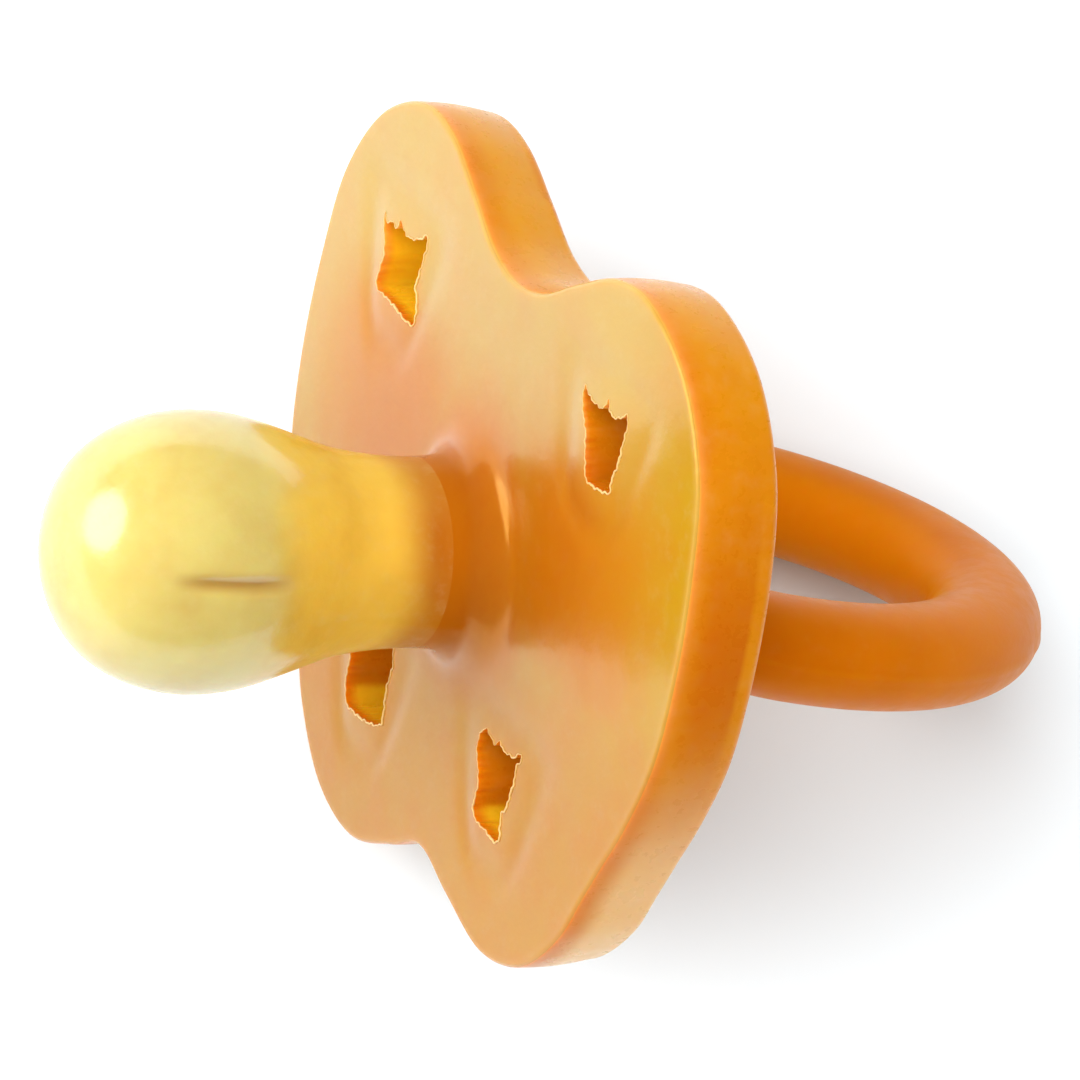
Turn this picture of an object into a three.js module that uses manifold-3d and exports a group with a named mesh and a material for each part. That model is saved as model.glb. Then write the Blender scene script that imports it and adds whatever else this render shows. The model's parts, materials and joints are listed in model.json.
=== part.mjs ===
// Natural rubber soother lying on its side: butterfly shield, hollow round teat and a loop handle.
// Millimetres. The parts are drawn in the soother's own frame and then laid down as it rests:
// x runs across the shield's wings, y towards the nose notch, z out through the teat's tip.
// The front face of the shield has its middle at z = 0.

import * as THREE from 'three';
import { mergeVertices } from 'three/addons/utils/BufferGeometryUtils.js';
import ManifoldModule from 'manifold-3d';

const manifoldLibrary = await ManifoldModule();
manifoldLibrary.setup();
const { Manifold } = manifoldLibrary;

// ---- driving dimensions ----------------------------------------------------------------------

const RUNNING_GAP = 0.3; // between pieces that move or sit against each other

const SHIELD_BACK = -6.2; // flat back of the shield
const SHIELD_HALF_WIDTH = 27.4;
const NOSE_NOTCH_Y = 17.4;
const CHIN_NOTCH_Y = -18.9;
const FACE_FALL_X = 0.0012; // the face falls back by this times x squared
const FACE_FALL_Y = 0.0008;
const BACK_BEVEL = 1.4;

const VENT_TOP_WIDTH = 6.0;
const VENT_BOTTOM_WIDTH = 4.6;
const VENT_HEIGHT = 5.6;
const VENT_TOOTH = 0.9;
const UPPER_VENT = { x: 15.0, y: 12.4 };
const LOWER_VENT = { x: 9.6, y: -12.0 };

const TEAT_TIP = 27.3;
const BULB_CENTRE = 18.2;
const BULB_RADIUS = 8.58;
const NECK_RADIUS = 5.8;
const BULB_WALL = 1.1;
const NECK_WALL = 1.7;

const PIVOT_Z = -0.5; // the teat bends about this point, just under the face
const TEAT_ROOT_RADIUS = 6.3;
const COLLAR_INNER_RADIUS = 6.7;
const COLLAR_OUTER_RADIUS = 8.3;
const SOCKET_RADIUS = COLLAR_OUTER_RADIUS + RUNNING_GAP;
const ROOT_END = -2.9;
const COLLAR_TOP = 0.9;

const PLUG_RADIUS = 6.0;
const PLUG_THICKNESS = 1.1;
const AIR_VENT_RADIUS = 0.6;

const RING_HALF_WIDTH = 15.0; // centre line of the handle loop, across the wings
const RING_HALF_LENGTH = 16.0; // and along the teat's axis
const RING_CENTRE = -18.0;
const RING_TUBE_WIDE = 3.58; // half the tube's width in the plane of the loop
const RING_TUBE_THICK = 3.19; // and across that plane
const RING_PIVOT_Z = -11.0; // the loop bends about this line, parallel to x
const RING_DROOP = 5.2; // degrees that the soft loop hangs below the teat's axis
const FOOT_POCKET = 0.8; // depth that each foot is let into the shield's back
const FOOT_INNER_X = 7.0; // each foot's pocket starts this far from the middle

// The direction, in the soother's own frame, that points up when it lies still on its lower left
// rim and the side of the loop.
const LYING_UP = new THREE.Vector3(0.7826, 0.4625, 0.4167).normalize();

// ---- helpers ---------------------------------------------------------------------------------

function solidFrom(geometry) {
  const bare = new THREE.BufferGeometry();
  bare.setAttribute('position', geometry.getAttribute('position'));
  bare.setIndex(geometry.getIndex());
  const merged = mergeVertices(bare, 1e-5);
  const corners = merged.getIndex().array;
  const triangles = [];
  for (let i = 0; i < corners.length; i += 3) {
    const [a, b, c] = corners.slice(i, i + 3);
    if (a !== b && b !== c && c !== a) {
      triangles.push(a, b, c);
    }
  }
  const vertProperties = new Float32Array(merged.getAttribute('position').array);
  const outwards = new Manifold(new manifoldLibrary.Mesh({
    numProp: 3, vertProperties, triVerts: new Uint32Array(triangles),
  }));
  if (outwards.volume() > 0) {
    return outwards;
  }
  return new Manifold(new manifoldLibrary.Mesh({
    numProp: 3, vertProperties, triVerts: new Uint32Array(triangles.reverse()),
  }));
}

function geometryFrom(solid) {
  const mesh = solid.getMesh();
  const geometry = new THREE.BufferGeometry();
  geometry.setAttribute('position', new THREE.BufferAttribute(mesh.vertProperties, 3));
  geometry.setIndex(new THREE.BufferAttribute(mesh.triVerts, 1));
  const flat = geometry.toNonIndexed();
  flat.computeVertexNormals();
  return flat;
}

// A turned solid about z from [radius, z] pairs that start and end on the axis.
function turned(profile, segments = 64) {
  const points = profile.map(([radius, z]) => new THREE.Vector2(radius, z));
  const geometry = new THREE.LatheGeometry(points, segments);
  geometry.rotateX(Math.PI / 2);
  return solidFrom(geometry);
}

// Points on a circular arc of a sphere round the pivot, between two heights z.
function pivotArc(radius, fromZ, toZ, steps) {
  const start = Math.asin((fromZ - PIVOT_Z) / radius);
  const end = Math.asin((toZ - PIVOT_Z) / radius);
  return Array.from({ length: steps + 1 }, (_, i) => {
    const angle = start + (end - start) * i / steps;
    return [radius * Math.cos(angle), PIVOT_Z + radius * Math.sin(angle)];
  });
}

function block(width, depth, height, x, y, z) {
  return Manifold.cube([width, depth, height], true).translate([x, y, z]);
}

function mesh(name, solid, colour, roughness) {
  const material = new THREE.MeshStandardMaterial({ color: colour, roughness, metalness: 0 });
  const part = new THREE.Mesh(geometryFrom(solid), material);
  part.name = name;
  return part;
}

// ---- shield ----------------------------------------------------------------------------------

// The right half of the butterfly outline, from the chin notch round the wing to the nose notch.
function butterflyShape() {
  const half = [
    [0, CHIN_NOTCH_Y], [4.3, -20.4], [9.8, -22.0], [15.0, -20.8], [19.1, -17.2], [20.95, -14.1],
    [22.75, -11.1], [24.6, -8.0], [26.7, -3.0], [SHIELD_HALF_WIDTH, 2.9], [27.1, 8.8],
    [25.9, 14.9], [22.1, 19.9], [16.3, 22.5], [12.0, 22.2], [7.6, 20.2], [3.6, 18.1],
  ];
  const right = half.map(([x, y]) => new THREE.Vector2(x, y));
  const left = half.slice(1).reverse().map(([x, y]) => new THREE.Vector2(-x, y));
  const nose = new THREE.Vector2(0, NOSE_NOTCH_Y);
  const points = [...right, nose, ...left];
  const closed = new THREE.CatmullRomCurve3(
    points.map((p) => new THREE.Vector3(p.x, p.y, 0)), true, 'centripetal');
  return new THREE.Shape(closed.getPoints(128).slice(0, -1).map((p) => new THREE.Vector2(p.x, p.y)));
}

// A vent is narrower at the bottom and has three short teeth along its top edge.
function ventSolid({ x, y }, side) {
  const top = VENT_TOP_WIDTH / 2;
  const bottom = VENT_BOTTOM_WIDTH / 2;
  const high = VENT_HEIGHT / 2;
  const outline = new THREE.Shape([
    [-bottom, -high], [bottom, -high], [top, high], [top * 0.5, high - VENT_TOOTH],
    [0, high], [-top * 0.5, high - VENT_TOOTH], [-top, high],
  ].map(([px, py]) => new THREE.Vector2(px, py)));
  const depth = 12;
  const geometry = new THREE.ExtrudeGeometry(outline, { depth, bevelEnabled: false });
  return solidFrom(geometry).translate([side * x, y, -depth + 2]);
}

// Everything under the gently domed face.
function faceDome() {
  const reach = 60;
  const steps = 24;
  const rise = Array.from({ length: steps + 1 }, (_, i) => {
    const radius = reach * (1 - i / steps);
    return [radius, -FACE_FALL_X * radius * radius];
  });
  const dome = turned([[0, -40], [reach, -40], ...rise], 96);
  return dome.scale([1, Math.sqrt(FACE_FALL_X / FACE_FALL_Y), 1]);
}

function shieldSolid() {
  const geometry = new THREE.ExtrudeGeometry(butterflyShape(), {
    depth: 6,
    bevelThickness: BACK_BEVEL,
    bevelSize: BACK_BEVEL,
    bevelOffset: -BACK_BEVEL,
    bevelSegments: 4,
  });
  const plate = solidFrom(geometry).translate([0, 0, SHIELD_BACK + BACK_BEVEL]);
  const vents = [1, -1].flatMap((side) => [ventSolid(UPPER_VENT, side), ventSolid(LOWER_VENT, side)]);
  const socketFloor = SHIELD_BACK + PLUG_THICKNESS + 0.1;
  const socket = Manifold.sphere(SOCKET_RADIUS, 72).translate([0, 0, PIVOT_Z])
    .intersect(block(30, 30, 20, 0, 0, socketFloor + 10));
  const plugSeat = Manifold.cylinder(4, PLUG_RADIUS + RUNNING_GAP, PLUG_RADIUS + RUNNING_GAP, 64)
    .translate([0, 0, socketFloor - 3.9]);
  const pockets = [1, -1].map((side) => footPocket(side));
  return Manifold.intersection(plate, faceDome())
    .subtract(Manifold.union([...vents, socket, plugSeat, ...pockets]));
}

// ---- teat ------------------------------------------------------------------------------------

// Outer profile from the neck to the tip: a slim neck that swells into a round bulb.
function teatOuter() {
  return [
    [5.95, 1.3], [NECK_RADIUS, 2.9], [NECK_RADIUS, 4.6], [5.98, 7.0], [6.4, 9.4], [7.17, 11.8],
    [7.95, 14.2], [8.4, 16.1], [BULB_RADIUS, BULB_CENTRE], [8.45, 20.0], [8.0, 21.8],
    [7.25, 23.5], [6.1, 25.0], [4.5, 26.2], [2.4, 27.0], [0, TEAT_TIP],
  ];
}

function teatInner() {
  const bulbEnd = TEAT_TIP - BULB_WALL;
  const neck = NECK_RADIUS - NECK_WALL;
  return [
    [0, bulbEnd], [2.2, 25.9], [4.0, 25.2], [5.4, 24.1], [6.4, 22.8], [7.1, 21.2], [7.4, 19.6],
    [BULB_RADIUS - BULB_WALL, BULB_CENTRE], [7.25, 16.1], [6.7, 14.2], [5.8, 11.8], [4.9, 9.4],
    [4.4, 7.0], [neck, 4.6], [neck, ROOT_END - 1], [0, ROOT_END - 1],
  ];
}

function teatSolid() {
  const root = pivotArc(TEAT_ROOT_RADIUS, ROOT_END, 1.2, 8);
  const outside = turned([[0, ROOT_END], ...root, ...teatOuter()]);
  return outside.subtract(turned([...teatInner()].reverse()));
}

// The collar is the ring of rubber between the shield and the teat's root.
function collarSolid() {
  const outer = pivotArc(COLLAR_OUTER_RADIUS, ROOT_END, 0.1, 8);
  const fillet = [[7.6, 0.3], [7.15, 0.6], [6.95, COLLAR_TOP]];
  const whole = turned([[0, ROOT_END], ...outer, ...fillet, [0, COLLAR_TOP]]);
  return whole.subtract(Manifold.sphere(COLLAR_INNER_RADIUS, 72).translate([0, 0, PIVOT_Z]));
}

// The plug closes the hole that the moulding core leaves, with a pinhole to let the teat breathe.
function plugSolid() {
  const disc = Manifold.cylinder(PLUG_THICKNESS, PLUG_RADIUS, PLUG_RADIUS, 64);
  const pinhole = Manifold.cylinder(4, AIR_VENT_RADIUS, AIR_VENT_RADIUS, 24).translate([0, 0, -1]);
  return disc.subtract(pinhole).translate([0, 0, SHIELD_BACK]);
}

// ---- handle ----------------------------------------------------------------------------------

// The whole loop as one closed tube, before it is cut into the ring and its two feet.
function loopSolid(extra = 0) {
  const around = 96;
  const section = 28;
  const wide = RING_TUBE_WIDE + extra;
  const thick = RING_TUBE_THICK + extra;
  const positions = [];
  const index = [];
  for (let i = 0; i < around; i += 1) {
    const turn = i / around * 2 * Math.PI;
    const centreX = RING_HALF_WIDTH * Math.sin(turn);
    const centreZ = RING_CENTRE - RING_HALF_LENGTH * Math.cos(turn);
    const along = new THREE.Vector2(
      RING_HALF_WIDTH * Math.cos(turn), RING_HALF_LENGTH * Math.sin(turn)).normalize();
    for (let j = 0; j < section; j += 1) {
      const angle = j / section * 2 * Math.PI;
      const out = wide * Math.cos(angle);
      positions.push(centreX + out * along.y, thick * Math.sin(angle), centreZ - out * along.x);
      const next = ((i + 1) % around) * section;
      const across = (j + 1) % section;
      index.push(i * section + j, i * section + across, next + across);
      index.push(i * section + j, next + across, next + j);
    }
  }
  const geometry = new THREE.BufferGeometry();
  geometry.setAttribute('position', new THREE.Float32BufferAttribute(positions, 3));
  geometry.setIndex(index);
  return solidFrom(geometry);
}

// A long round bar along x on the line that the loop bends about.
function bendBar(radius) {
  return Manifold.cylinder(80, radius, radius, 64, true).rotate([0, 90, 0])
    .translate([0, 0, RING_PIVOT_Z]);
}

function ringSolid() {
  const loop = loopSolid();
  const behindPivot = block(80, 20, 60, 0, 0, RING_PIVOT_Z - 30);
  const nearPivot = block(80, 20, 10, 0, 0, RING_PIVOT_Z);
  const roundEnds = loop.intersect(bendBar(RING_TUBE_THICK)).intersect(nearPivot);
  return loop.intersect(behindPivot).add(roundEnds)
    .translate([0, 0, -RING_PIVOT_Z]).rotate([-RING_DROOP, 0, 0]).translate([0, 0, RING_PIVOT_Z]);
}

// The stretch of one leg between two heights, outside a distance from the middle.
function legStretch(side, innerX, lowZ, highZ, extra) {
  const width = 20;
  const middle = side * (innerX + width / 2);
  return loopSolid(extra)
    .intersect(block(width, 20, highZ - lowZ, middle, 0, (lowZ + highZ) / 2));
}

function footPocket(side) {
  return legStretch(side, FOOT_INNER_X, SHIELD_BACK - 1, SHIELD_BACK + FOOT_POCKET, RUNNING_GAP);
}

// Each foot carries the ring on the shield's back and is hollowed to clear the ring's round end.
function footSolid(side) {
  const top = SHIELD_BACK + FOOT_POCKET - RUNNING_GAP;
  return legStretch(side, FOOT_INNER_X + RUNNING_GAP, RING_PIVOT_Z, top, 0)
    .subtract(bendBar(RING_TUBE_THICK + RUNNING_GAP));
}

// ---- assembly --------------------------------------------------------------------------------

const RUBBER = 0xd98a2b;
const PALE_RUBBER = 0xe8c878;
const DEEP_RUBBER = 0xcf7414;

const soother = new THREE.Group();
soother.add(mesh('shield', shieldSolid(), RUBBER, 0.3));
soother.add(mesh('neck_collar', collarSolid(), RUBBER, 0.3));
soother.add(mesh('teat', teatSolid(), PALE_RUBBER, 0.15));
soother.add(mesh('core_plug', plugSolid(), RUBBER, 0.35));
soother.add(mesh('handle_ring', ringSolid(), DEEP_RUBBER, 0.35));
soother.add(mesh('handle_foot_left', footSolid(-1), DEEP_RUBBER, 0.35));
soother.add(mesh('handle_foot_right', footSolid(1), DEEP_RUBBER, 0.35));

// Lay it down: its own LYING_UP becomes +Z, and the teat points to the left, towards -X.
const teatTip = new THREE.Vector3(0, 0, 1);
const rowY = new THREE.Vector3().crossVectors(teatTip, LYING_UP).normalize();
const rowX = new THREE.Vector3().crossVectors(rowY, LYING_UP);
const lyingTurn = new THREE.Matrix4().makeBasis(rowX, rowY, LYING_UP).transpose();
soother.quaternion.setFromRotationMatrix(lyingTurn);

// The origin is under the middle of the object, on the surface that it lies on.
const extent = new THREE.Box3().setFromObject(soother, true);
const middle = extent.getCenter(new THREE.Vector3());
soother.position.set(-middle.x, -middle.y, -extent.min.z);

const group = new THREE.Group();
group.add(soother);

export default group;
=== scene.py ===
"""Looks of a natural rubber soother lying on its side: butterfly shield, round teat, loop handle."""

import json
import math

import bpy
import numpy as np
from mathutils import Matrix


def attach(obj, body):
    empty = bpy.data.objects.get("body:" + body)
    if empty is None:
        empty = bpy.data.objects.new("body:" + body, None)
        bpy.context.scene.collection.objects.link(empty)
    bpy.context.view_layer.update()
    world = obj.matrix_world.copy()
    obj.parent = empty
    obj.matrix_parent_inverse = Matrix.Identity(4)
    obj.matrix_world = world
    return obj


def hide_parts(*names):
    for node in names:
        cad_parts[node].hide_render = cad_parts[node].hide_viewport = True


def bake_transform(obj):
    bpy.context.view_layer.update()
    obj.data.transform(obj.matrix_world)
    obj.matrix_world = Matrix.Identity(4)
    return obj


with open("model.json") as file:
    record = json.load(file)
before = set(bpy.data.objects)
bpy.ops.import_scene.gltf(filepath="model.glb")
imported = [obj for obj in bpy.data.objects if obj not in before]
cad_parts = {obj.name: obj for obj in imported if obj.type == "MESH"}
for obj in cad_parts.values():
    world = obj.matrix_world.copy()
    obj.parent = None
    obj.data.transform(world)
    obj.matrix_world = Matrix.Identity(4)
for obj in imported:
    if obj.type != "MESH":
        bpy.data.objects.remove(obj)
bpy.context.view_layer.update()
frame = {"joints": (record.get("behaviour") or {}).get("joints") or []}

# ---- the soother's own frame -------------------------------------------------------------------
# Millimetres: x across the wings, y towards the nose notch, z out through the teat's tip, with the
# middle of the shield's face at z = 0.

MM = 0.001
PIVOT_DEPTH = 0.5  # the teat bends about a point this far under the face
joints = {joint["name"]: joint for joint in frame["joints"]}


def unit(values):
    """The vector along values with length one."""
    values = np.array(values, float)
    return values / np.linalg.norm(values)


ACROSS = unit(joints["teat_bend_up_down"]["axis"])
NOSEWARD = unit(joints["teat_bend_sideways"]["axis"])
OUTWARD = np.cross(ACROSS, NOSEWARD)
AXES = np.array([ACROSS, NOSEWARD, OUTWARD])
FACE_MIDDLE = np.array(joints["teat_bend_up_down"]["pos_m"]) + PIVOT_DEPTH * MM * OUTWARD


def laid(points):
    """Own-frame millimetres to row-frame metres: the face middle plus x, y, z along the three axes."""
    return FACE_MIDDLE + MM * np.asarray(points, float) @ AXES


def stood_up(points):
    """Row-frame metres back to own-frame millimetres."""
    return (np.asarray(points, float) - FACE_MIDDLE) @ AXES.T / MM


# ---- sizes, mm ---------------------------------------------------------------------------------

SHIELD_BACK = -6.2
FACE_FALL_X = 0.0012  # per mm: the dome falls by this times x squared
FACE_FALL_Y = 0.0008
NEAR_AXIS = 0.2  # a ring this small round the axis is closed by a fan
BACK_ROUND = 0.6
RESTING_ROUND = 1.4  # the back edge is rounder where the soother lies on it
RESTING_SIDE = -130  # degrees round from the right wing
FRONT_ROUND = 0.32
FRONT_SLACK = 0.1  # the front edge is taken to run this far in from the outline
BAND_CROWN = 0.14  # the rim's band stands proud of straight by this
WING_OUTLINE = [
    (0, -18.9), (4.3, -20.4), (9.8, -22.0), (15.0, -20.8), (19.1, -17.2), (20.95, -14.1),
    (22.75, -11.1), (24.6, -8.0), (26.7, -3.0), (27.4, 2.9), (27.1, 8.8), (25.9, 14.9),
    (22.1, 19.9), (16.3, 22.5), (12.0, 22.2), (7.6, 20.2), (3.6, 18.1), (0, 17.4),
]

NECK_RADIUS = 5.8
NECK_SEAM = 3.5  # height at which the shield's skin hands over to the teat's
FILLET_REACH = 2.8
FILLET_POWER = 2 / 2.8  # a superellipse of power 2.8, tighter in its corner than a circle
FILLET_SWELL = 0.16
BORE_RADIUS = 4.1
BORE_END = -2.6

PLUG_SEAT_RADIUS = 6.25
PLUG_SEAT_DEPTH = 1.15
PLUG_SEAT_ROUND = 0.35
PLUG_RADIUS = 6.0
PINHOLE_RADIUS = 0.6

# The moulded wing isn't quite even: how far its front and back edges stand out from the outline,
# as (degrees round from the right wing, mm).
FRONT_EDGE_DRIFT = [(-165, 0.25), (-130, 0.3), (-105, 0.35), (-80, 0.1), (-45, 0.1), (0, 0.3),
                    (20, 0.5), (45, 0.1), (80, 0.0), (105, 0.1), (125, 0.2), (150, 0.0), (180, 0.2)]
BACK_EDGE_DRIFT = [(-165, 0.2), (-120, 0.0), (-85, -0.3), (-68, -0.8), (-50, -0.2), (-20, 0.1),
                   (0, 0.6), (20, 1.3), (38, 0.5), (55, -0.4), (80, 0.0), (108, -0.6), (125, -0.5),
                   (150, 0.1), (180, 0.2)]

# Each vent tapers downwards, and thin flash leaves a toothed top edge and ragged sides. Points are
# round the vent's own middle, down the right side first.
VENTS = {
    "upper_left": (-15.0, 12.4), "upper_right": (15.0, 12.4),
    "lower_left": (-9.6, -12.0), "lower_right": (9.6, -12.0),
}
VENT_EDGES = {
    "upper_left": [
        (2.7, 2.6), (2.5, 1.0), (2.3, -0.3), (2.7, -0.9), (2.8, -1.9), (2.7, -2.5), (1.7, -2.6),
        (0.2, -2.4), (-1.5, -2.3), (-3.3, -2.2), (-3.1, -0.9), (-2.9, -0.1), (-3.3, 0.8),
        (-3.9, 1.8), (-3.9, 2.3), (-3.3, 1.8), (-2.7, 2.2), (-1.9, 2.0), (-1.4, 2.7), (-0.8, 2.3),
        (0.3, 2.2), (1.7, 2.7), (2.5, 3.15)],
    "upper_right": [
        (2.1, 2.3), (2.0, 1.3), (1.9, -0.1), (1.5, -1.3), (1.5, -2.1), (0.4, -2.4), (-0.9, -2.5),
        (-1.6, -2.4), (-1.9, -1.8), (-2.4, -0.6), (-2.6, 0.1), (-3.3, 1.0), (-3.8, 1.8),
        (-3.9, 2.7), (-3.1, 2.4), (-2.1, 2.2), (-1.1, 2.3), (-0.75, 3.0), (-0.2, 2.4), (0.5, 2.3),
        (1.2, 2.6), (1.8, 2.95)],
    "lower_right": [
        (1.8, 3.0), (1.4, 2.4), (1.5, 1.7), (1.2, 0.4), (1.0, -0.4), (0.5, -1.0), (0.6, -1.7),
        (0.7, -2.6), (0.1, -2.9), (-1.2, -2.7), (-2.5, -2.6), (-3.2, -2.2), (-3.2, -1.5),
        (-3.0, -0.4), (-3.4, 0.6), (-3.9, 1.5), (-3.8, 2.5), (-3.2, 3.1), (-2.4, 2.9), (-1.6, 2.7),
        (-1.2, 3.1), (-0.6, 2.8), (0.4, 2.8), (1.0, 2.9), (1.6, 3.4)],
    "lower_left": [
        (2.6, 2.0), (2.3, 0.4), (2.3, -0.7), (2.2, -2.1), (1.0, -2.6), (-0.9, -2.9), (-2.1, -2.9),
        (-3.0, -2.9), (-3.5, -2.3), (-3.7, -1.4), (-3.5, -0.4), (-3.5, 0.3), (-3.7, 1.4), (-3.6, 2.4),
        (-2.9, 2.9), (-2.2, 2.5), (-1.3, 2.6), (-0.7, 3.0), (0.1, 2.5), (1.1, 2.6), (2.0, 3.0)],
}
# Down a vent: the height, its size there as a share of its mouth, and how rough its sides are.
VENT_LEVELS = [(3.0, 1.0, 1.0), (-0.6, 1.0, 1.0), (-1.3, 0.99, 0.0), (-3.3, 0.96, 0.0),
               (-5.3, 0.92, 0.0), (-5.9, 0.91, 0.0), (-8.0, 0.88, 0.0)]
LIP_RADIUS = 0.055
LIP_PROUD = 0.02  # height of the lip's middle over the face
MOAT_DEPTH = 0.16
MOAT_HALF_WIDTH = 4.3
MOAT_TAPER = 0.3  # and it is wider by this for each mm up
MOAT_HALF_HEIGHT = 4.6
MOAT_BESIDE = 0.6  # its middle lies this far to the left of the vent's, and below it by the next
MOAT_BELOW = 0.3

TEAT_OUTSIDE = [
    (5.8, 3.5), (5.8, 4.6), (5.98, 7.0), (6.4, 9.4), (7.17, 11.8), (7.95, 14.2), (8.4, 16.1),
    (8.58, 18.2), (8.45, 20.0), (8.0, 21.8), (7.25, 23.5), (6.1, 25.0), (4.5, 26.2), (2.4, 27.05),
    (0.0, 27.3),
]
BULB_WALL = 1.1
NECK_WALL = 1.7
TIP_RADIUS = 0.02  # the skin stops this near the axis, where nothing shows
# The pinch runs along z at one angle, and eases in and out over these heights.
PINCH_ANGLE = math.radians(7.6)
PINCH_RADIUS = 8.3
PINCH_HALF_WIDTH = 0.5
PINCH_DEPTH = 0.4
PINCH_STARTS = (14.4, 17.4)
PINCH_ENDS = (20.2, 23.6)

LOOP_HALF_WIDTH = 15.0
LOOP_HALF_LENGTH = 16.0
LOOP_CENTRE = -18.0
LOOP_WIDE = 3.58
LOOP_THICK = 3.19
LOOP_PIVOT = -11.0
FOOT_LEAVES = math.radians(121)  # where round its ellipse the loop turns into a foot
FOOT_CENTRE = 11.25
FOOT_WIDE = 4.2
FOOT_THICK = 3.75
FOOT_SUNK = 0.5
FOOT_FLARE = 0.7
PARTING_PROUD = 0.07
PARTING_WIDTH = 0.16
LOOP_DROOP = math.radians(5.8)
DROOP_EASE = (-7, -15)

# ---- meshes ------------------------------------------------------------------------------------


def smoothstep(low, high, value):
    """0 below low, 1 above high, and 3t^2 - 2t^3 of the share t in between."""
    share = np.clip((value - low) / (high - low), 0, 1)
    return share * share * (3 - 2 * share)


def bell(distance, width, power=2):
    """1 at distance 0, and exp(-(distance / width)^power) away from it."""
    return np.exp(-((distance / width) ** power))


def through(points, count, closed=False):
    """count points on the centripetal Catmull-Rom curve through points, evenly spaced along it."""
    points = np.array(points, float)
    if closed:
        padded = np.vstack([points[-1], points, points[:2]])
    else:
        padded = np.vstack([2 * points[0] - points[1], points, 2 * points[-1] - points[-2]])
    steps = np.linspace(0, 1, 40, endpoint=False)[:, None]
    runs = []
    for a, b, c, d in zip(padded, padded[1:], padded[2:], padded[3:]):
        t1 = np.linalg.norm(b - a) ** 0.5
        t2 = t1 + np.linalg.norm(c - b) ** 0.5
        t3 = t2 + np.linalg.norm(d - c) ** 0.5
        t = t1 + (t2 - t1) * steps
        ab = (t1 - t) / t1 * a + t / t1 * b
        bc = (t2 - t) / (t2 - t1) * b + (t - t1) / (t2 - t1) * c
        cd = (t3 - t) / (t3 - t2) * c + (t - t2) / (t3 - t2) * d
        near = (t2 - t) / t2 * ab + t / t2 * bc
        far = (t3 - t) / (t3 - t1) * bc + (t - t1) / (t3 - t1) * cd
        runs.append((t2 - t) / (t2 - t1) * near + (t - t1) / (t2 - t1) * far)
    curve = np.vstack(runs + [points[:1] if closed else points[-1:]])
    length = np.concatenate([[0], np.cumsum(np.linalg.norm(np.diff(curve, axis=0), axis=1))])
    wanted = np.linspace(0, length[-1], count, endpoint=not closed)
    return np.stack([np.interp(wanted, length, curve[:, i]) for i in range(curve.shape[1])], 1)


def enclosed(points, faces):
    """Six times the volume that a list of faces encloses, by the sum of corner triple products."""
    total = 0.0
    for size in {len(face) for face in faces}:
        corners = points[np.array([face for face in faces if len(face) == size])]
        for i in range(1, size - 1):
            cross = np.cross(corners[:, i], corners[:, i + 1])
            total += np.einsum("ij,ij->", corners[:, 0], cross)
    return total


def skin(name, rings, ends="poles"):
    """A closed surface through rings of points, an array (rings, around, 3) in own-frame mm.
    Each ring joins the next one, and its last point joins its first. With ends "poles" the first
    and last rings are closed by a fan to their middle; with "joined" the last meets the first."""
    rings = np.asarray(rings, float)
    count, around = rings.shape[:2]
    points = rings.reshape(-1, 3)
    row = np.arange(count if ends == "joined" else count - 1)[:, None] * around
    here = np.arange(around)
    after = (here + 1) % around
    above = (row + around) % (count * around)
    quads = np.stack([row + here, row + after, above + after, above + here], -1).reshape(-1, 4)
    faces = quads.tolist()
    if ends == "poles":
        points = np.vstack([points, rings[0].mean(0), rings[-1].mean(0)])
        top = (count - 1) * around
        first = np.stack([after, here, np.full(around, count * around)], -1)
        last = np.stack([top + here, top + after, np.full(around, count * around + 1)], -1)
        faces += first.tolist() + last.tolist()
    if enclosed(points, faces) < 0:
        faces = [face[::-1] for face in faces]
    mesh = bpy.data.meshes.new(name)
    mesh.from_pydata(laid(points).tolist(), [], faces)
    mesh.update()
    piece = bpy.data.objects.new(name, mesh)
    bpy.context.scene.collection.objects.link(piece)
    return piece


def turned(profile, around):
    """Rings of a turned shape: each (radius, z) of the profile carried round the z axis."""
    profile = np.asarray(profile, float)
    angle = np.linspace(0, 2 * math.pi, around, endpoint=False)
    radius = profile[:, :1]
    height = np.broadcast_to(profile[:, 1:], (len(profile), around))
    return np.stack([radius * np.cos(angle), radius * np.sin(angle), height], -1)


def bead(name, path, normals, radius, around=12):
    """A round bead carried along a closed path: at each point a circle of the given radius, in the
    plane of the normal there and of the path's own sideways direction."""
    ahead = np.roll(path, -1, 0) - np.roll(path, 1, 0)
    ahead /= np.linalg.norm(ahead, axis=1)[:, None]
    side = np.cross(ahead, normals)
    side /= np.linalg.norm(side, axis=1)[:, None]
    up = np.cross(side, ahead)
    angle = np.linspace(0, 2 * math.pi, around, endpoint=False)[:, None]
    radius = np.broadcast_to(radius, len(path))[:, None, None]
    circle = np.cos(angle) * side[:, None] + np.sin(angle) * up[:, None]
    return skin(name, path[:, None] + radius * circle, ends="joined")


def cut(piece, cutter):
    """Takes cutter out of piece for good, and removes cutter."""
    modifier = piece.modifiers.new("cut", "BOOLEAN")
    modifier.operation = "DIFFERENCE"
    modifier.solver = "EXACT"
    modifier.object = cutter
    graph = bpy.context.evaluated_depsgraph_get()
    made = bpy.data.meshes.new_from_object(piece.evaluated_get(graph))
    piece.modifiers.clear()
    piece.data = made
    bpy.data.objects.remove(cutter)


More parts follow.
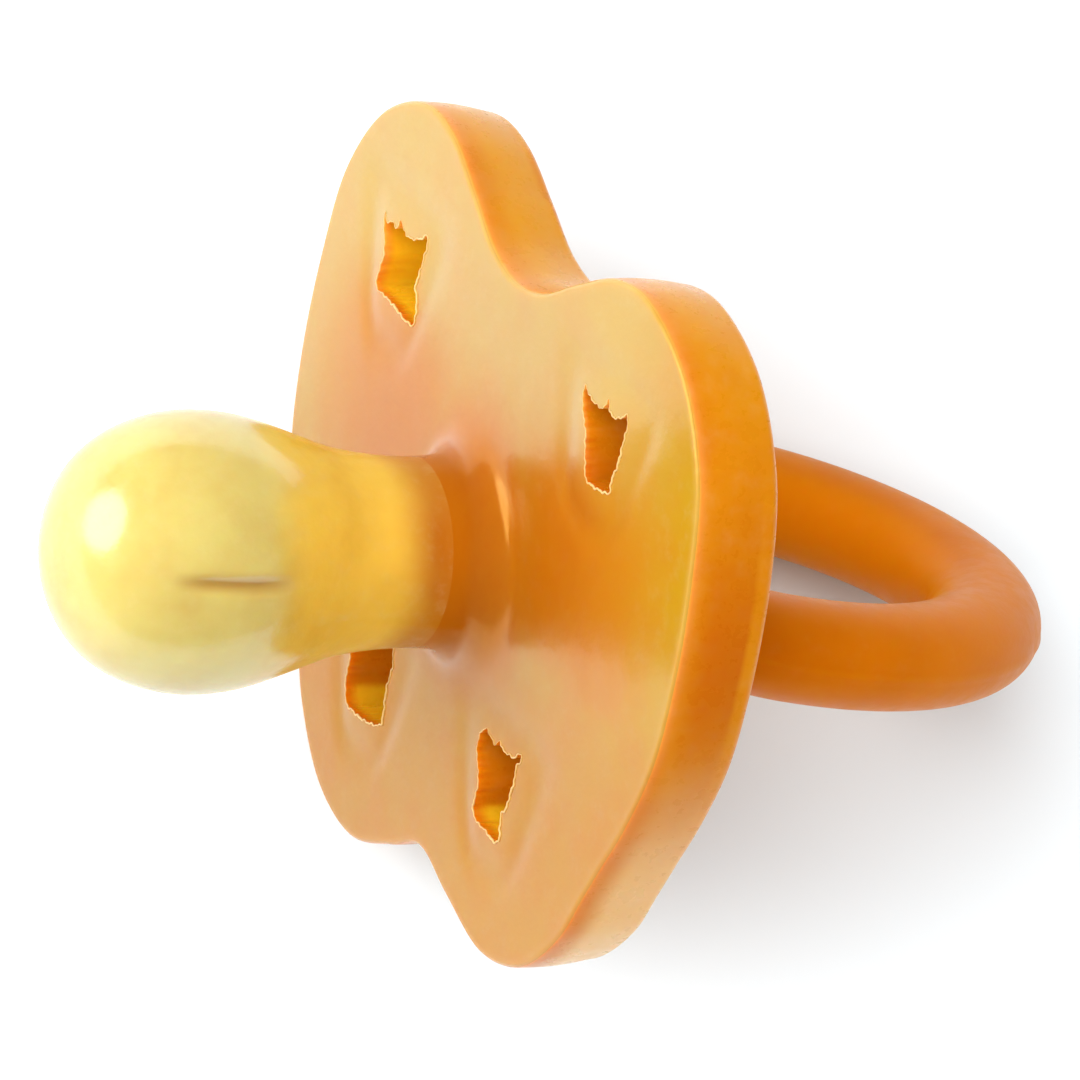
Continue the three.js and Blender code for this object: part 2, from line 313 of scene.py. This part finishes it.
def finish_surface(piece, material, tone=None, side_material=None, sharp=50):
    """Smooth shading with sharp corners over an angle, the material, and two attributes for it:
    rubber_mm, where each point is in the own frame at rest, and rubber_tone, from tone(points).
    Faces past the neck or behind the bore that don't look out along the teat take side_material,
    if there is one."""
    mesh = piece.data
    mesh.polygons.foreach_set("use_smooth", np.ones(len(mesh.polygons), bool))
    mesh.set_sharp_from_angle(angle=math.radians(sharp))
    places = np.empty(len(mesh.vertices) * 3, np.float32)
    mesh.vertices.foreach_get("co", places)
    points = stood_up(places.reshape(-1, 3))
    tones = np.zeros((len(points), 3)) if tone is None else tone(points)
    for name, values in (("rubber_mm", points), ("rubber_tone", tones)):
        attribute = mesh.attributes.new(name, "FLOAT_VECTOR", "POINT")
        attribute.data.foreach_set("vector", values.astype(np.float32).ravel())
    mesh.materials.clear()
    mesh.materials.append(material)
    if side_material:
        normals = np.empty(len(mesh.polygons) * 3, np.float32)
        mesh.polygons.foreach_get("normal", normals)
        turned_away = normals.reshape(-1, 3) @ OUTWARD < 0.5
        middles = np.empty(len(mesh.polygons) * 3, np.float32)
        mesh.polygons.foreach_get("center", middles)
        middles = stood_up(middles.reshape(-1, 3))
        past_neck = np.linalg.norm(middles[:, :2], axis=1) > NECK_RADIUS + FILLET_REACH
        away = turned_away & (past_neck | (middles[:, 2] < BORE_END))
        mesh.materials.append(side_material)
        mesh.polygons.foreach_set("material_index", away.astype(np.int32))


# ---- materials ---------------------------------------------------------------------------------


def linear(hex_colour):
    """An sRGB hex colour as linear RGBA."""
    values = np.array([int(hex_colour[i:i + 2], 16) / 255 for i in (0, 2, 4)])
    low = values / 12.92
    high = ((values + 0.055) / 1.055) ** 2.4
    return (*np.where(values <= 0.04045, low, high).tolist(), 1.0)


def add(tree, kind, settings=None, **sockets):
    """Adds a node of a kind with its settings, and fills its sockets with values or links."""
    node = tree.nodes.new(kind)
    for name, value in (settings or {}).items():
        setattr(node, name, value)
    for name, value in sockets.items():
        key = int(name[1:]) if name[0] == "_" and name[1:].isdigit() else name.replace("_", " ")
        socket = node.inputs[key]
        if isinstance(value, bpy.types.NodeSocket):
            tree.links.new(value, socket)
        else:
            socket.default_value = value
    return node


def mixed(tree, factor, first, second):
    """The colour that is first at factor 0 and second at factor 1."""
    node = add(tree, "ShaderNodeMix", {"data_type": "RGBA"}, _0=factor, _6=first, _7=second)
    return node.outputs[2]


def spread(tree, value, low, high, to_low=0.0, to_high=1.0):
    """to_low where value is under low, to_high where it is over high, and eased in between."""
    settings = {"interpolation_type": "SMOOTHSTEP"}
    return add(tree, "ShaderNodeMapRange", settings, Value=value, From_Min=low, From_Max=high,
               To_Min=to_low, To_Max=to_high).outputs["Result"]


WAVER = 2.4  # mm that the teat's bands of colour wander up and down
CLOUD = 0.17  # noise scales are one over millimetres: clouds 6 mm across,
STREAK = 0.9  # streaks 1 mm across from the flow of the latex,
PEEL = 2.4  # an orange-peel of 0.4 mm, which is as fine as shows,
WAVE = 0.25  # and soft waves of 4 mm
WAVE_SHARE = 6.0  # how much more the waves weigh in the relief than the peel
SEAM_FADE = (0.2, 1.5)  # mm from the neck's seam over which the softness comes in
LIGHT_REACH = (1.0, 0.5, 0.2)  # red light goes furthest in, blue the least


def natural_rubber(name, base, pale, deep, bright, roughness, coat, shine,
                   gleam="f0dc98", gradient=None, soft=0.8, reach=0.002):
    """Natural rubber (latex from the hevea tree), dipped or moulded in a polished steel mould: amber
    and translucent, so light goes a few millimetres in and shadows glow, and its skin is a satin
    gloss. base goes to pale, deep and bright by the three parts of rubber_tone, and a gradient lists
    (low, high, below, above): heights in mm between which the colour turns from one to the next.
    gleam tints the reflections, soft is the share of light that goes in, and reach is how far in m."""
    material = bpy.data.materials.new(name)
    material.use_nodes = True
    tree = material.node_tree
    tree.nodes.clear()
    place = add(tree, "ShaderNodeAttribute", {"attribute_name": "rubber_mm"}).outputs["Vector"]
    tone = add(tree, "ShaderNodeAttribute", {"attribute_name": "rubber_tone"}).outputs["Vector"]
    edge, depth, glow = add(tree, "ShaderNodeSeparateXYZ", _0=tone).outputs
    height = add(tree, "ShaderNodeSeparateXYZ", Vector=place).outputs["Z"]
    colour = linear(base)
    if gradient:
        waver = add(tree, "ShaderNodeTexNoise", Vector=place, Scale=0.16, Detail=2.0)
        wavering = add(tree, "ShaderNodeMath", {"operation": "MULTIPLY_ADD"},
                       _0=waver.outputs["Fac"], _1=WAVER, _2=height).outputs[0]
        for low, high, below, above in gradient:
            share = spread(tree, wavering, low + WAVER / 2, high + WAVER / 2)
            colour = mixed(tree, share, linear(below) if below else colour, linear(above))
    clouds = add(tree, "ShaderNodeTexNoise", Vector=place, Scale=CLOUD, Detail=3.0, Roughness=0.55)
    clouded = spread(tree, clouds.outputs["Fac"], 0.35, 0.75, 0.0, 0.35)
    colour = mixed(tree, clouded, colour, linear(deep))
    streaks = add(tree, "ShaderNodeTexNoise", Vector=place, Scale=STREAK, Detail=4.0, Roughness=0.6)
    streaked = spread(tree, streaks.outputs["Fac"], 0.45, 0.85, 0.0, 0.12)
    colour = mixed(tree, streaked, colour, linear(pale))
    # rubber_tone's three parts paint light and shade into the colour: pale mostly as painted highlight
    # and sheen, deep as painted shade besides deeper rubber, bright as painted glow
    colour = mixed(tree, edge, colour, linear(pale))
    colour = mixed(tree, depth, colour, linear(deep))
    colour = mixed(tree, glow, colour, linear(bright))
    # little light crosses the seam in the neck, so the softness fades out towards it
    above_seam = add(tree, "ShaderNodeMath", {"operation": "SUBTRACT"}, _0=height, _1=NECK_SEAM)
    from_seam = add(tree, "ShaderNodeMath", {"operation": "ABSOLUTE"}, _0=above_seam.outputs[0])
    softness = spread(tree, from_seam.outputs[0], *SEAM_FADE, 0.0, soft)
    peel = add(tree, "ShaderNodeTexNoise", Vector=place, Scale=PEEL, Detail=2.0)
    waves = add(tree, "ShaderNodeTexNoise", Vector=place, Scale=WAVE, Detail=1.0)
    relief = add(tree, "ShaderNodeMath", {"operation": "MULTIPLY_ADD"}, _0=waves.outputs["Fac"],
                 _1=WAVE_SHARE, _2=peel.outputs["Fac"]).outputs[0]
    bump = add(tree, "ShaderNodeBump", Strength=0.12, Distance=0.0001, Height=relief).outputs[0]
    gloss = spread(tree, streaks.outputs["Fac"], 0.3, 0.8, roughness * 0.85, roughness * 1.25)
    shader = add(tree, "ShaderNodeBsdfPrincipled", {"subsurface_method": "RANDOM_WALK"},
                 Base_Color=colour, Roughness=gloss, IOR=1.52, Specular_IOR_Level=shine,
                 Specular_Tint=linear(gleam), Subsurface_Weight=softness,
                 Subsurface_Radius=LIGHT_REACH, Subsurface_Scale=reach,
                 Coat_Weight=coat, Coat_Roughness=roughness * 0.8, Coat_IOR=1.5, Normal=bump)
    add(tree, "ShaderNodeOutputMaterial", Surface=shader.outputs[0])
    return material


FACE_AMBER = "a0780e"
# the face's deep colour: its darker clouds, the neck root's own orange, and the painted shade on the
# face
ROOT_ORANGE_AND_SHADE = "a85604"
# on the face and the rim, pale also gives the painted edge highlight and sheen, deep the painted shade
# and shadow, and bright the painted glow
# against the mould's polished steel: the window lies on it as one clear amber gleam
face_rubber = natural_rubber(
    "moulded_natural_rubber_polished", base=FACE_AMBER, pale="b6a47c", deep=ROOT_ORANGE_AND_SHADE,
    bright="d4ac14", roughness=0.2, coat=0.06, shine=1.0, gleam="f0c258")
# the mould's plain sides: a soft satin orange with only a faint gleam
rim_rubber = natural_rubber(
    "moulded_natural_rubber_satin", base="c87e0a", pale="e0b478", deep="b85802",
    bright="deac18", roughness=0.3, coat=0.0, shine=0.35, gleam="f0c060")
# flash as thin as paper round each vent: its pale, dull colour is partly the thin rubber's own and
# partly a painted highlight, a thread of light round each vent
lip_rubber = natural_rubber(
    "flash_of_natural_rubber", base="d8b070", pale="ecd8b0", deep="c89038",
    bright="e0a820", roughness=0.35, coat=0.1, shine=0.4, soft=0.1)
# thick and dull from handling: light goes right through it and it glows a deep orange
handle_rubber = natural_rubber(
    "moulded_natural_rubber_matte", base="c06c04", pale="c88440", deep="b05c02",
    bright="e08a08", roughness=0.4, coat=0.0, shine=0.1, gleam="f0a840", reach=0.007)
# a thin dipped wall over a hollow: pale honey, glossy, and orange only at its root
teat_rubber = natural_rubber(
    "dipped_natural_rubber_honey", base=FACE_AMBER, pale="dccc90", deep="b07c12",
    bright="e2cc78", roughness=0.2, coat=0.0, shine=1.0, gleam="ffffff",
    gradient=[(3.8, 7.6, "ac600c", "e4be4a"), (13.0, 17.2, None, "cab862")])

# ---- shield ------------------------------------------------------------------------------------

mirrored = [(-x, y) for x, y in WING_OUTLINE[-2:0:-1]]
outline_curve = through(WING_OUTLINE + mirrored, 4000, closed=True)
outline_angle = np.unwrap(np.arctan2(outline_curve[:, 1], outline_curve[:, 0]))
outline_order = np.argsort(outline_angle % (2 * math.pi))
outline_turn = (outline_angle % (2 * math.pi))[outline_order]
outline_reach = np.hypot(*outline_curve.T)[outline_order]


def wing_reach(angle):
    """How far the butterfly outline is from the middle, at an angle."""
    return np.interp(angle, outline_turn, outline_reach, period=2 * math.pi)


def drift(table, angle):
    """How far an edge stands out from the outline at an angle, eased between the table's angles."""
    degrees, amounts = np.array(table).T
    fine = np.linspace(0, 360, 721)
    straight = np.interp(fine, degrees % 360, amounts, period=360)
    weights = np.hanning(41)
    padded = np.concatenate([straight[-21:-1], straight, straight[1:21]])
    smooth = np.convolve(padded, weights / weights.sum(), "valid")
    return np.interp(np.degrees(angle), fine, smooth, period=360)


def vent_outline(name, count=240, rough=1.0):
    """A vent's outline on the face: its smoothed points, pushed in and out by two fine sine waves
    of about 0.04 mm."""
    curve = through(VENT_EDGES[name], count, closed=True)
    ahead = np.roll(curve, -1, 0) - np.roll(curve, 1, 0)
    out = np.stack([ahead[:, 1], -ahead[:, 0]], 1) / np.linalg.norm(ahead, axis=1)[:, None]
    turn = np.linspace(0, 2 * math.pi, count, endpoint=False)[:, None]
    waves = 0.045 * np.sin(23 * turn + len(name)) + 0.035 * np.sin(41 * turn + 2)
    return curve + rough * waves * out + np.array(VENTS[name])


def moat(x, y):
    """How deep the face sinks in a soft moat round each vent, which leaves the vent's edge raised:
    a bell across a tapered superellipse of power 4 that runs 1.3 mm outside the vent."""
    depth = np.zeros(np.shape(x))
    for vent_x, vent_y in VENTS.values():
        beside = x - vent_x + MOAT_BESIDE
        up = y - vent_y + MOAT_BELOW
        half = MOAT_HALF_WIDTH + MOAT_TAPER * up
        distance = ((np.abs(beside) / half) ** 4 + (np.abs(up) / MOAT_HALF_HEIGHT) ** 4) ** 0.25
        depth = np.maximum(depth, MOAT_DEPTH * bell(distance - 1.02, 0.27))
    return depth


def face_height(x, y):
    """The face's height: a shallow dome that falls by 0.0012 x^2 + 0.0008 y^2, less the moats."""
    return -FACE_FALL_X * x * x - FACE_FALL_Y * y * y - moat(x, y)


def on_face(x, y, z):
    """Whether points lie on the face and not on the rim, the back or a vent's side."""
    return z > face_height(x, y) - 0.2


def shield_rings(around=480):
    """The shield and the root of the neck as one skin: up the bore, over the seam, down the fillet,
    out over the face, round the rim's band, in over the back and down into the plug's seat. Rounded
    edges are quarter circles, and the fillet is a quarter superellipse whose foot lies on the face."""
    angle = np.linspace(0, 2 * math.pi, around, endpoint=False)
    direction = np.stack([np.cos(angle), np.sin(angle)], 1)
    edge = wing_reach(angle)[:, None] * direction
    along = np.roll(edge, -1, 0) - np.roll(edge, 1, 0)
    out = np.stack([along[:, 1], -along[:, 0]], 1) / np.linalg.norm(along, axis=1)[:, None]
    rings = []

    def ring(flat, height):
        rings.append(np.column_stack([flat, np.broadcast_to(height, around)]))

    bore = [(NEAR_AXIS, BORE_END), (3.2, BORE_END), (BORE_RADIUS - 0.2, BORE_END + 0.1),
            (BORE_RADIUS, BORE_END + 0.5), (BORE_RADIUS, 0), (BORE_RADIUS, NECK_SEAM)]
    for radius, height in bore:
        ring(radius * direction, height)
    fillet_foot = NECK_RADIUS + FILLET_REACH
    for sweep in np.linspace(0, math.pi / 2, 25):
        # the fillet's hand-smoothed root swells and shrinks a little round the neck
        swell = FILLET_SWELL * math.sin(sweep) * np.sin(3 * angle + 0.7)[:, None]
        inwards = max(math.cos(sweep), 0.0) ** FILLET_POWER
        downwards = math.sin(sweep) ** FILLET_POWER
        flat = (fillet_foot - FILLET_REACH * inwards + swell) * direction
        ring(flat, NECK_SEAM * (1 - downwards) + downwards ** 2 * face_height(*flat.T))
    foot = rings[-1][:, :2]
    front_edge = edge + drift(FRONT_EDGE_DRIFT, angle)[:, None] * out
    back_edge = edge + drift(BACK_EDGE_DRIFT, angle)[:, None] * out
    shoulder = front_edge - FRONT_ROUND * out
    for share in np.linspace(0, 1, 49)[1:]:
        flat = foot + share * (shoulder - foot)
        ring(flat, face_height(*flat.T))
    front = face_height(*shoulder.T)
    for sweep in np.linspace(0, math.pi / 2, 7)[1:]:
        flat = shoulder + FRONT_ROUND * math.sin(sweep) * out
        ring(flat, front - FRONT_ROUND * (1 - math.cos(sweep)))
    band_top = front - FRONT_ROUND
    resting = smoothstep(-0.2, 0.6, np.cos(angle - math.radians(RESTING_SIDE)))
    back_round = BACK_ROUND + (RESTING_ROUND - BACK_ROUND) * resting
    band_end = SHIELD_BACK + back_round
    for share in np.linspace(0, 1, 13)[1:]:
        flat = front_edge + share * (back_edge - front_edge)
        flat = flat + BAND_CROWN * math.sin(math.pi * share) * out
        ring(flat, band_top + share * (band_end - band_top))
    for sweep in np.linspace(0, math.pi / 2, 9)[1:]:
        flat = back_edge - back_round[:, None] * (1 - math.cos(sweep)) * out
        ring(flat, band_end - back_round * math.sin(sweep))
    back_flat = rings[-1][:, :2]
    seat = (PLUG_SEAT_RADIUS + PLUG_SEAT_ROUND) * direction
    for share in np.linspace(0, 1, 25)[1:]:
        ring(back_flat + share * (seat - back_flat), SHIELD_BACK)
    for sweep in np.linspace(0, math.pi / 2, 5)[1:]:
        ring((PLUG_SEAT_RADIUS + PLUG_SEAT_ROUND * (1 - math.sin(sweep))) * direction,
             SHIELD_BACK + PLUG_SEAT_ROUND * (1 - math.cos(sweep)))
    for radius in (PLUG_SEAT_RADIUS, PLUG_SEAT_RADIUS - 0.05, NEAR_AXIS):
        ring(radius * direction, SHIELD_BACK + PLUG_SEAT_DEPTH)
    return np.array(rings)


def vent_cutter(name):
    """One vent as a prism through the shield: its outline shrunk about its middle level by level,
    a little narrower towards the back."""
    levels = []
    for height, scale, rough in VENT_LEVELS:
        outline = vent_outline(name, rough=rough)
        middle = outline.mean(0)
        flat = middle + (outline - middle) * scale
        levels.append(np.column_stack([flat, np.full(len(flat), height)]))
    return skin("vent_cutter", np.array(levels))


def shield_tone(points):
    """x: pale: a painted highlight along the rim's front edge, paler along the lower right rim, and a
    painted sheen of reflected light on the upper face; y: deep: round the neck's root for its
    thicker rubber and as painted shade, painted shade in front of the handle's roots, on the lower
    face and down the vents, and a painted shadow of the teat on the right rim; z: bright: painted
    light over the upper outer face and along the upper rim, and a painted glow where the wall
    between a vent and the rim is thin enough for light. Each is a bell or an eased step of where
    the point is."""
    x, y, z = points.T
    radius = np.hypot(x, y)
    around = np.arctan2(y, x)
    turn = np.degrees(around)
    inward = wing_reach(around) + drift(FRONT_EDGE_DRIFT, around) - radius
    face = face_height(x, y)
    on_front = on_face(x, y, z)
    band = (inward < 1) * smoothstep(-1.0, -3.0, z)

    # deeper round the neck's root: partly the thicker rubber there, partly painted shade where the
    # teat shades the face
    root = bell(np.clip(radius - 6, 0, None), 4.0)
    # painted shade on the face either side of the neck, over the handle's roots
    painted_shade_over_roots = bell(np.abs(x) - 14, 10, 4) * bell(y - 4, 7, 4)
    # painted shadow of the teat on the right side of the rim
    painted_shadow_right_rim = band * bell(turn - 8, 14)
    # painted shade: the lower face darker towards the bottom
    painted_shade_low_face = 0.34 * smoothstep(4, -8, y) * (1 - band)

    # painted highlight: a pale line along the rim's front edge
    from_edge = np.hypot(np.clip(inward - FRONT_SLACK, 0, None), z - face + FRONT_SLACK)
    edge = 0.2 * bell(from_edge, 0.4)
    # paler along the lower right rim
    pale_lower_rim = 0.9 * smoothstep(0, -42, turn) * smoothstep(-130, -80, turn) * band
    # painted sheen: a pale veil of reflected light over the upper face, kept off the neck's root and
    # the shade over the handle's roots
    painted_sheen = 0.3 * smoothstep(-12, 8, y) * smoothstep(27, 12, x) * (1 - root) * (1 - painted_shade_over_roots)
    pale = np.maximum(np.maximum(edge, pale_lower_rim), painted_sheen * on_front)

    deep = np.maximum(0.9 * root, 0.8 * np.maximum(painted_shade_over_roots, painted_shadow_right_rim))
    deep = np.maximum(deep, painted_shade_low_face) * (z > SHIELD_BACK + 1)
    # painted light: brighter over the outer upper face and along the upper rim
    glow = 0.12 * smoothstep(13, 24, radius) * smoothstep(-8, 6, y) * on_front
    glow = np.maximum(glow, 0.25 * band * bell(turn - 90, 55, 4))
    # in each vent: painted shade down its walls, and a painted glow on the wall nearest the rim, where
    # light would come through
    for name, (vent_x, vent_y) in VENTS.items():
        inside = (np.abs(x - vent_x) < 4.2) & (np.abs(y - vent_y) < 4.0)
        below = inside * smoothstep(0.15, 0.9, face - z)
        below = below * smoothstep(SHIELD_BACK + 0.3, SHIELD_BACK + 1.0, z)
        deep = np.maximum(deep, 0.2 * below)
        lit = smoothstep(-1.6, -2.2, y - vent_y) if "lower" in name else smoothstep(1, -4, x)
        glow = np.maximum(glow, below * lit)
    return np.stack([pale, deep, glow], 1)


shield_skin = skin("shield_skin", shield_rings())
for vent_name in VENTS:
    cut(shield_skin, vent_cutter(vent_name))
finish_surface(shield_skin, face_rubber, shield_tone, rim_rubber)
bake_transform(shield_skin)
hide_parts("shield", "neck_collar")

for vent_name in VENTS:
    flat = vent_outline(vent_name, 320)
    height = face_height(*flat.T) + LIP_PROUD
    spin = np.linspace(0, 2 * math.pi, len(flat), endpoint=False)
    # the flash is thickest down the right side and round the bottom
    around_vent = np.arctan2(*(flat - flat.mean(0)).T[::-1])
    thick_side = 0.75 + 0.4 * np.cos(around_vent + 0.7)
    thickness = thick_side + 0.2 * np.sin(5 * spin + len(vent_name)) + 0.2 * np.sin(13 * spin)
    thickness = LIP_RADIUS * np.clip(thickness, 0.25, None)
    lip = bead(f"vent_lip_{vent_name}", np.column_stack([flat, height]),
               np.tile([0.0, 0.0, 1.0], (len(flat), 1)), thickness)
    finish_surface(lip, lip_rubber)
    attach(lip, "shield_body")

# ---- plug in the shield's back -----------------------------------------------------------------

plug_profile = [
    (PINHOLE_RADIUS, -5.2), (PINHOLE_RADIUS, -6.0), (0.75, -6.2), (1.2, -6.28), (3.5, -6.24),
    (5.2, -6.12), (5.8, -5.98), (PLUG_RADIUS, -5.75), (PLUG_RADIUS, -5.2),
]
core_plug_skin = skin("core_plug_skin", turned(plug_profile, 128), ends="joined")
finish_surface(core_plug_skin, rim_rubber)
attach(core_plug_skin, "shield_body")
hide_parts("core_plug")

# ---- teat --------------------------------------------------------------------------------------


def from_pinch(x, y, z):
    """How far round the bulb points are from the pinch, in mm, and how strong the pinch is at their
    height, from 0 to 1."""
    off = (np.arctan2(y, x) - PINCH_ANGLE) * PINCH_RADIUS
    return off, smoothstep(*PINCH_STARTS, z) * (1 - smoothstep(*PINCH_ENDS, z))


def teat_rings(around=256):
    """The hollow teat: its outer profile up to the tip, and back down the bore by the wall's
    thickness square to it, turned about z. A shallow pinch runs along the bulb's side: a narrow
    bell beside a wider, shallower one."""
    outer = through(TEAT_OUTSIDE, 120)
    outer[-1, 0] = TIP_RADIUS
    step = np.gradient(outer, axis=0)
    normal = np.stack([step[:, 1], -step[:, 0]], 1) / np.linalg.norm(step, axis=1)[:, None]
    wall = NECK_WALL - (NECK_WALL - BULB_WALL) * smoothstep(6, 14, outer[:, 1])
    inner = (outer - wall[:, None] * normal)[::-1]
    inner[:, 0] = np.clip(inner[:, 0], TIP_RADIUS, None)
    outside = turned(outer, around)
    x, y, z = np.moveaxis(outside, -1, 0)
    off, strength = from_pinch(x, y, z)
    pinch = strength * (PINCH_DEPTH * bell(off, PINCH_HALF_WIDTH) + 0.14 * bell(off + 1.2, 1.1))
    outside[..., :2] *= (1 - pinch / np.maximum(np.hypot(x, y), 1))[..., None]
    return np.concatenate([outside, turned(inner, around)])


def teat_tone(points):
    """y: deeper along the pinch in the bulb's side, where the wall folds: painted shade in its crease.
    """
    off, strength = from_pinch(*points.T)
    nothing = np.zeros(len(points))
    return np.stack([nothing, 0.8 * strength * bell(off, PINCH_HALF_WIDTH), nothing], 1)


teat_skin = skin("teat_skin", teat_rings(), ends="joined")
finish_surface(teat_skin, teat_rubber, teat_tone)
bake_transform(teat_skin)
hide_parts("teat")

# ---- handle ------------------------------------------------------------------------------------


def handle_rings(stations=200, around=64, steps=16):
    """The loop: an ellipse in the plane y = 0 from one foot to the other, each station an oval
    square to it, with a fine parting line round the outside. Each foot runs by a cubic from the
    last oval to a wider oval flat on the shield's back, where it flares. The loop droops by a turn
    about the line at the pivot's height that eases in over 8 mm."""
    turn = np.linspace(-FOOT_LEAVES, FOOT_LEAVES, stations)
    middle = np.stack([LOOP_HALF_WIDTH * np.sin(turn),
                       LOOP_CENTRE - LOOP_HALF_LENGTH * np.cos(turn)], 1)
    ahead = np.stack([LOOP_HALF_WIDTH * np.cos(turn), LOOP_HALF_LENGTH * np.sin(turn)], 1)
    ahead /= np.linalg.norm(ahead, axis=1)[:, None]
    outward = np.stack([ahead[:, 1], -ahead[:, 0]], 1)
    angle = np.linspace(0, 2 * math.pi, around, endpoint=False)
    parting = PARTING_PROUD * bell(2 * LOOP_THICK * np.sin(angle / 2), PARTING_WIDTH)
    wide = LOOP_WIDE * np.cos(angle) + parting
    tube = np.stack([middle[:, :1] + wide * outward[:, :1],
                     np.broadcast_to(LOOP_THICK * np.sin(angle), (stations, around)),
                     middle[:, 1:] + wide * outward[:, 1:]], -1)

    def foot(oval, onwards, side):
        """Rings from the tube's last oval to the shield's back and a little way into it, by the
        Hermite cubic that leaves along the tube and lands along the flare."""
        seat = np.stack([side * (FOOT_CENTRE + FOOT_WIDE * np.cos(angle)),
                         FOOT_THICK * np.sin(angle), np.full(around, SHIELD_BACK)], 1)
        flare = np.stack([side * FOOT_FLARE * np.cos(angle), FOOT_FLARE * np.sin(angle),
                          np.full(around, 0.6)], 1)
        length = np.linalg.norm(seat - oval, axis=1)[:, None]
        share = np.linspace(0, 1, steps)[1:, None, None]
        rings = ((2 * share ** 3 - 3 * share ** 2 + 1) * oval
                 + (share ** 3 - 2 * share ** 2 + share) * length * onwards
                 + (3 * share ** 2 - 2 * share ** 3) * seat
                 + (share ** 3 - share ** 2) * length * flare)
        return np.concatenate([rings, [seat + (0, 0, FOOT_SUNK)]])

    left = foot(tube[0], -np.array([ahead[0, 0], 0, ahead[0, 1]]), -1)
    right = foot(tube[-1], np.array([ahead[-1, 0], 0, ahead[-1, 1]]), 1)
    x, thick, z = np.moveaxis(np.concatenate([left[::-1], tube, right]), -1, 0)
    droop = LOOP_DROOP * smoothstep(*DROOP_EASE, z)
    from_pivot = z - LOOP_PIVOT
    y = thick * np.cos(droop) + from_pivot * np.sin(droop)
    z = LOOP_PIVOT + from_pivot * np.cos(droop) - thick * np.sin(droop)
    return np.stack([x, y, z], -1)


def handle_tone(points):
    """z: bright down the loop's inner side, where the light comes through from the outer one."""
    x, _, z = points.T
    share = np.hypot(x / LOOP_HALF_WIDTH, (z - LOOP_CENTRE) / LOOP_HALF_LENGTH)
    nothing = np.zeros(len(points))
    return np.stack([nothing, nothing, 0.48 * smoothstep(0.93, 0.8, share)], 1)


handle_skin = skin("handle_skin", handle_rings())
finish_surface(handle_skin, handle_rubber, handle_tone)
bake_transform(handle_skin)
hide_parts("handle_ring", "handle_foot_left", "handle_foot_right")

# ---- floor, light and camera -------------------------------------------------------------------

FLOOR_HALF = 4.0
floor_mesh = bpy.data.meshes.new("floor")
floor_mesh.from_pydata(
    [(x * FLOOR_HALF, y * FLOOR_HALF, 0.0) for x, y in ((-1, -1), (1, -1), (1, 1), (-1, 1))],
    [], [(0, 1, 2, 3)])
floor = bpy.data.objects.new("floor", floor_mesh)
bpy.context.scene.collection.objects.link(floor)
paper = bpy.data.materials.new("white_paper")
paper.use_nodes = True
paper.node_tree.nodes.clear()
paper_shader = add(paper.node_tree, "ShaderNodeBsdfPrincipled", Base_Color=(0.82, 0.88, 0.91, 1),
                   Roughness=0.9, Specular_IOR_Level=0.2)
add(paper.node_tree, "ShaderNodeOutputMaterial", Surface=paper_shader.outputs[0])
floor_mesh.materials.append(paper)


def aimed(thing, place, target, up=(0, 0, 1)):
    """Puts a light or the camera at place, looking at target, with up upwards in its view."""
    back = unit(np.array(place, float) - np.array(target, float))
    right = unit(np.cross(up, back))
    turn = np.column_stack([right, np.cross(back, right), back])
    matrix = np.eye(4)
    matrix[:3, :3] = turn
    matrix[:3, 3] = place
    thing.matrix_world = Matrix(matrix.tolist())
    bpy.context.scene.collection.objects.link(thing)


LIT_POINT = (0, 0, 0.02)  # the middle of the soother as it lies, in metres


def softbox(name, direction, distance, size, power):
    """A round area light of a size in metres and a power in watts, that far off in a direction."""
    light = bpy.data.lights.new(name, "AREA")
    light.shape = "DISK"
    light.size = size
    light.energy = power
    box = bpy.data.objects.new(name, light)
    aimed(box, unit(direction) * distance + np.array(LIT_POINT), LIT_POINT)
    return box


softbox("window_light", direction=(-0.89, 0.36, 0.36), distance=1.1, size=0.8, power=8.2)
# the overhead softbox is flagged out of reflections, so that only the window and the floor gleam
overhead = softbox("overhead_light", direction=(-0.25, 0.1, 1.0), distance=2.0, size=3.0, power=74)
overhead.visible_glossy = False
world = bpy.data.worlds.new("studio")
world.use_nodes = True
world.node_tree.nodes["Background"].inputs["Color"].default_value = (1, 1, 1, 1)
world.node_tree.nodes["Background"].inputs["Strength"].default_value = 0.45
bpy.context.scene.world = world
bpy.context.scene.view_settings.view_transform = "Standard"

CAMERA_DISTANCE = 2.0
SENSOR = 36.0
FIELD_WIDTH = 65.06  # mm that the view is wide at the object
AIM_RIGHT = 4.58  # mm from the face's middle to the middle of the view
AIM_UP = 0.72
to_camera = unit((0.8368, 0.3294, 0.4373)) @ AXES
view_up = unit((-0.3663, 0.9305, 0.0)) @ AXES
view_right = np.cross(view_up, to_camera)
aim = FACE_MIDDLE + AIM_RIGHT * MM * view_right + AIM_UP * MM * view_up
lens = bpy.data.cameras.new("camera")
lens.sensor_width = SENSOR
lens.lens = SENSOR * CAMERA_DISTANCE / (FIELD_WIDTH * MM)
lens.clip_end = 20.0
camera = bpy.data.objects.new("camera", lens)
aimed(camera, aim + CAMERA_DISTANCE * to_camera, aim, view_up)
bpy.context.scene.camera = camera
